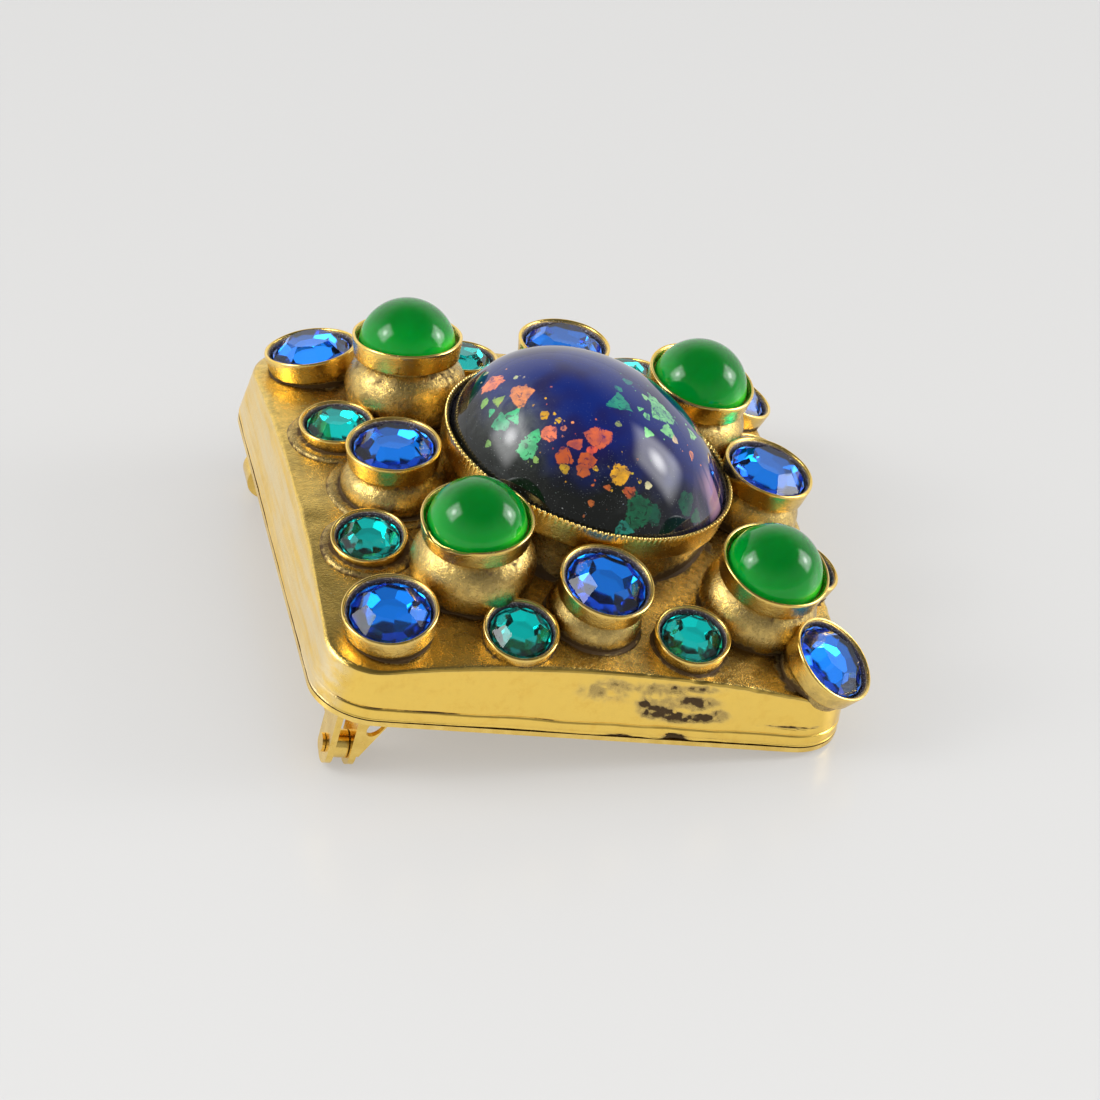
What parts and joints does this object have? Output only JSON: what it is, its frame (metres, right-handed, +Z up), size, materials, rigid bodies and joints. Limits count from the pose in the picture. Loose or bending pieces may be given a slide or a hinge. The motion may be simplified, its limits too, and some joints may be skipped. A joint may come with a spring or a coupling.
{
  "type": "pin brooch",
  "caption": "Square gilt brooch with a crowned cast front, a large opal-glass cabochon, smaller round glass stones in cups, and a hinged pin with a hook catch behind.",
  "frame": {"origin": "centre of the footprint of the brooch as it lies, on the surface it lies on", "axes": "+Z up, -Y towards the front edge, +X towards the low right edge; the brooch leans on its pin finding under the left edge"},
  "size_m": [0.0474, 0.0468, 0.0242],
  "materials": {
    "gilt_casting": "antiqued satin",
    "gilt_sheet": "polished",
    "pin_wire": "polished",
    "opal_glass": "polished, with coloured flakes",
    "green_glass": "polished",
    "blue_glass": "polished and foiled",
    "teal_glass": "polished and foiled"
  },
  "bodies": {
    "brooch": {"front_casting": "gilt_casting", "back_plate": "gilt_sheet", "hinge_rivet": "gilt_sheet", "centre_stone": "opal_glass", "green_stone_1": "green_glass", "green_stone_2": "green_glass", "green_stone_3": "green_glass", "green_stone_4": "green_glass", "blue_stone_1": "blue_glass", "blue_stone_2": "blue_glass", "blue_stone_3": "blue_glass", "blue_stone_4": "blue_glass", "blue_stone_5": "blue_glass", "blue_stone_6": "blue_glass", "blue_stone_7": "blue_glass", "blue_stone_8": "blue_glass", "teal_stone_1": "teal_glass", "teal_stone_2": "teal_glass", "teal_stone_3": "teal_glass", "teal_stone_4": "teal_glass", "teal_stone_5": "teal_glass", "teal_stone_6": "teal_glass", "teal_stone_7": "teal_glass", "teal_stone_8": "teal_glass"},
    "pin": {"pin_stem": "pin_wire"}
  },
  "joints": [
    {"name": "pin_swing", "type": "hinge", "parent": "brooch", "child": "pin", "pos_m": [-0.02104, -0.01918, 0.00186], "axis": [-0.9886, 0, 0.1509], "range_deg": [0, 90]}
  ]
}
